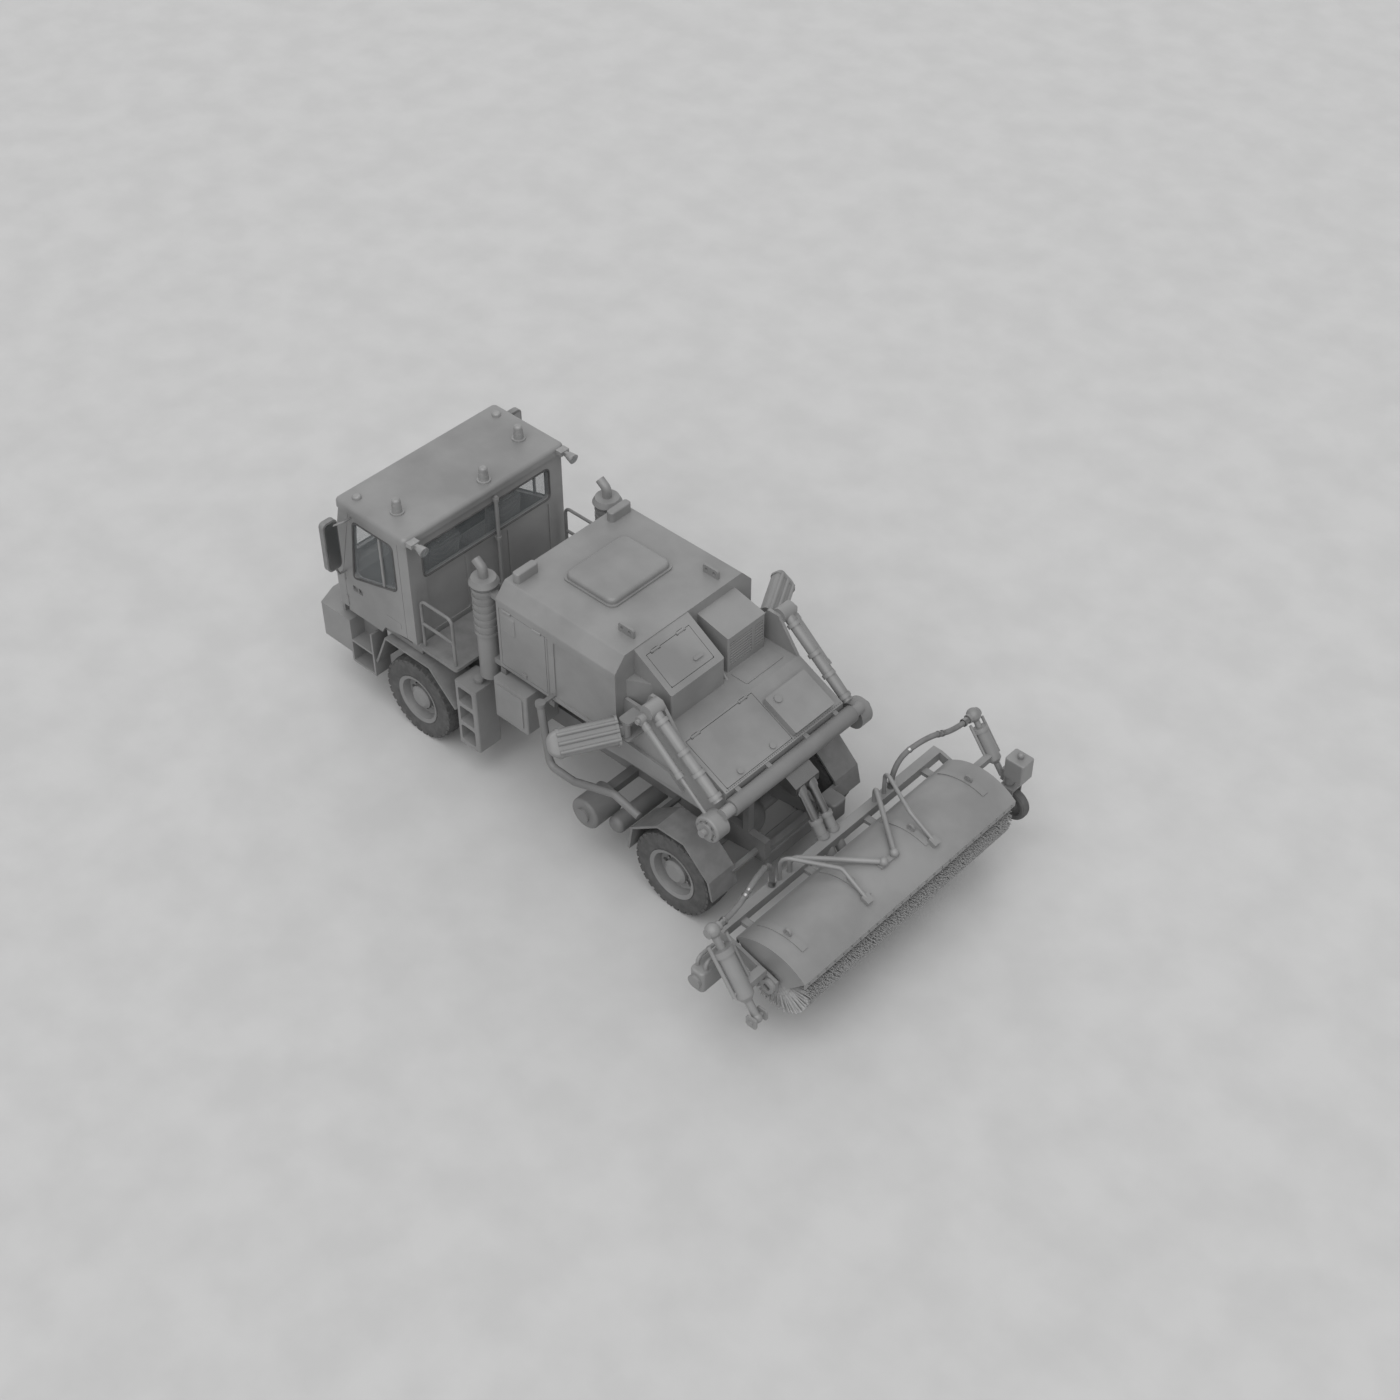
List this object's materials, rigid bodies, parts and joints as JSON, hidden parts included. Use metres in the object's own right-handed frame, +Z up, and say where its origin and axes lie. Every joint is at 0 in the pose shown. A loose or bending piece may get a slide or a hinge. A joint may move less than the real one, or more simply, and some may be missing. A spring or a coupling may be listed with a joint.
{
  "type": "airport runway sweeper truck",
  "caption": "Two-axle airport sweeper truck with wide forward cab, engine hood, sloped rear deck and a wide roller broom lifted behind on telescopic guides.",
  "frame": {"origin": "on the ground under the middle of the length and width", "axes": "+X forward, +Y to the vehicle's left, +Z up"},
  "size_m": [8.27, 4.6416, 3.2338],
  "materials": {
    "body_paint": "satin grey paint",
    "platform_paint": "satin grey paint",
    "chassis_paint": "chassis grey paint",
    "cast_engine": "cast",
    "cab_glass": "clear",
    "tyre_rubber": "matt",
    "solid_tyre": "matt",
    "wheel_steel": "satin",
    "seat_fabric": "woven",
    "dash_plastic": "grained",
    "bristle": "bristle",
    "hose_rubber": "matt",
    "bright_steel": "ground",
    "lamp_plastic": "moulded",
    "mirror_plastic": "moulded"
  },
  "bodies": {
    "chassis": {"cab_floor": "body_paint", "cab_front": "body_paint", "cab_glass": "cab_glass", "cab_rear": "body_paint", "cab_roof": "body_paint", "cab_seats": "seat_fabric", "cab_side_left": "body_paint", "cab_side_right": "body_paint", "chassis_frame": "chassis_paint", "cross_tube": "chassis_paint", "dashboard": "dash_plastic", "engine_block": "cast_engine", "exhaust_stacks": "body_paint", "fenders": "platform_paint", "front_axle": "chassis_paint", "front_bumper": "body_paint", "handrails": "platform_paint", "hood_front": "body_paint", "hood_rear": "body_paint", "left_block": "body_paint", "lift_guides": "bright_steel", "platform": "platform_paint", "rear_axle": "chassis_paint", "rear_deck": "body_paint", "right_block": "body_paint", "roof_lamps": "lamp_plastic", "side_booms": "body_paint", "side_pipes": "chassis_paint", "side_tanks": "body_paint", "underbody_units": "chassis_paint"},
    "knuckle_left": {"steering_knuckle_left": "chassis_paint"},
    "knuckle_right": {"steering_knuckle_right": "chassis_paint"},
    "wheel_front_left": {"front_tyre_left": "tyre_rubber", "front_rim_left": "wheel_steel"},
    "wheel_front_right": {"front_tyre_right": "tyre_rubber", "front_rim_right": "wheel_steel"},
    "wheel_rear_left": {"rear_tyre_left": "tyre_rubber", "rear_rim_left": "wheel_steel"},
    "wheel_rear_right": {"rear_tyre_right": "tyre_rubber", "rear_rim_right": "wheel_steel"},
    "door_left": {"cab_door_left": "body_paint", "door_glass_left": "cab_glass", "mirror_left": "mirror_plastic"},
    "door_right": {"cab_door_right": "body_paint", "door_glass_right": "cab_glass", "mirror_right": "mirror_plastic"},
    "hood_door_left": {"hood_door_left": "body_paint"},
    "hood_door_right": {"hood_door_right": "body_paint"},
    "deck_hatch": {"deck_hatch": "body_paint"},
    "block_lid": {"block_lid": "body_paint"},
    "nozzle_left": {"nozzle_left": "body_paint"},
    "nozzle_right": {"nozzle_right": "body_paint"},
    "broom": {"broom_frame": "body_paint", "broom_hood": "body_paint", "broom_hoses": "hose_rubber"},
    "brush": {"broom_brush": "bristle", "brush_shaft": "bright_steel"},
    "caster": {"caster_fork": "body_paint"},
    "caster_wheel": {"caster_wheel": "solid_tyre"}
  },
  "joints": [
    {"name": "steer_left", "type": "hinge", "parent": "chassis", "child": "knuckle_left", "pos_m": [2.395, 0.9, 0.545], "axis": [0, 0, 1], "range_deg": [-32, 32]},
    {"name": "steer_right", "type": "hinge", "parent": "chassis", "child": "knuckle_right", "pos_m": [2.395, -0.9, 0.545], "axis": [0, 0, 1], "range_deg": [-32, 32]},
    {"name": "wheel_front_left_spin", "type": "hinge", "parent": "knuckle_left", "child": "wheel_front_left", "pos_m": [2.395, 1.04, 0.545], "axis": [0, 1, 0], "continuous": true},
    {"name": "wheel_rear_left_spin", "type": "hinge", "parent": "chassis", "child": "wheel_rear_left", "pos_m": [-1.745, 1.04, 0.545], "axis": [0, 1, 0], "continuous": true},
    {"name": "cab_door_left_swing", "type": "hinge", "parent": "chassis", "child": "door_left", "pos_m": [3.508, 1.21, 2], "axis": [0, 0, -1], "range_deg": [0, 65]},
    {"name": "hood_door_left_lift", "type": "hinge", "parent": "chassis", "child": "hood_door_left", "pos_m": [0.59505, 1.075, 2.738], "axis": [1, 0, 0], "range_deg": [0, 80]},
    {"name": "nozzle_left_swing", "type": "hinge", "parent": "chassis", "child": "nozzle_left", "pos_m": [-1.04, 1.14, 2.255], "axis": [0, 0, 1], "range_deg": [-25, 25]},
    {"name": "wheel_front_right_spin", "type": "hinge", "parent": "knuckle_right", "child": "wheel_front_right", "pos_m": [2.395, -1.04, 0.545], "axis": [0, 1, 0], "continuous": true},
    {"name": "wheel_rear_right_spin", "type": "hinge", "parent": "chassis", "child": "wheel_rear_right", "pos_m": [-1.745, -1.04, 0.545], "axis": [0, 1, 0], "continuous": true},
    {"name": "cab_door_right_swing", "type": "hinge", "parent": "chassis", "child": "door_right", "pos_m": [3.508, -1.21, 2], "axis": [0, 0, 1], "range_deg": [0, 65]},
    {"name": "hood_door_right_lift", "type": "hinge", "parent": "chassis", "child": "hood_door_right", "pos_m": [0.59505, -1.075, 2.738], "axis": [-1, 0, 0], "range_deg": [0, 80]},
    {"name": "nozzle_right_swing", "type": "hinge", "parent": "chassis", "child": "nozzle_right", "pos_m": [-1.04, -1.14, 2.255], "axis": [0, 0, -1], "range_deg": [-25, 25]},
    {"name": "caster_swivel", "type": "hinge", "parent": "broom", "child": "caster", "pos_m": [-3.775, -2.15, 0.88], "axis": [0, 0, 1], "continuous": true},
    {"name": "caster_wheel_spin", "type": "hinge", "parent": "caster", "child": "caster_wheel", "pos_m": [-3.855, -2.15, 0.61], "axis": [0, 1, 0], "continuous": true},
    {"name": "deck_hatch_lift", "type": "hinge", "parent": "chassis", "child": "deck_hatch", "pos_m": [-1.6675, 0, 2.2891], "axis": [0, 1, 0], "range_deg": [0, 75]},
    {"name": "block_lid_lift", "type": "hinge", "parent": "chassis", "child": "block_lid", "pos_m": [-0.92814, 0, 2.93984], "axis": [0, 1, 0], "range_deg": [0, 70]},
    {"name": "broom_lift", "type": "slide", "parent": "chassis", "child": "broom", "axis": [-0.5678, 0, -0.8231], "range_m": [0, 0.46]},
    {"name": "brush_spin", "type": "hinge", "parent": "broom", "child": "brush", "pos_m": [-3.705, 0, 0.83], "axis": [0, 1, 0], "continuous": true}
  ],
  "couplings": [
    {"joint": "steer_right", "follows": "steer_left", "ratio": 1}
  ]
}
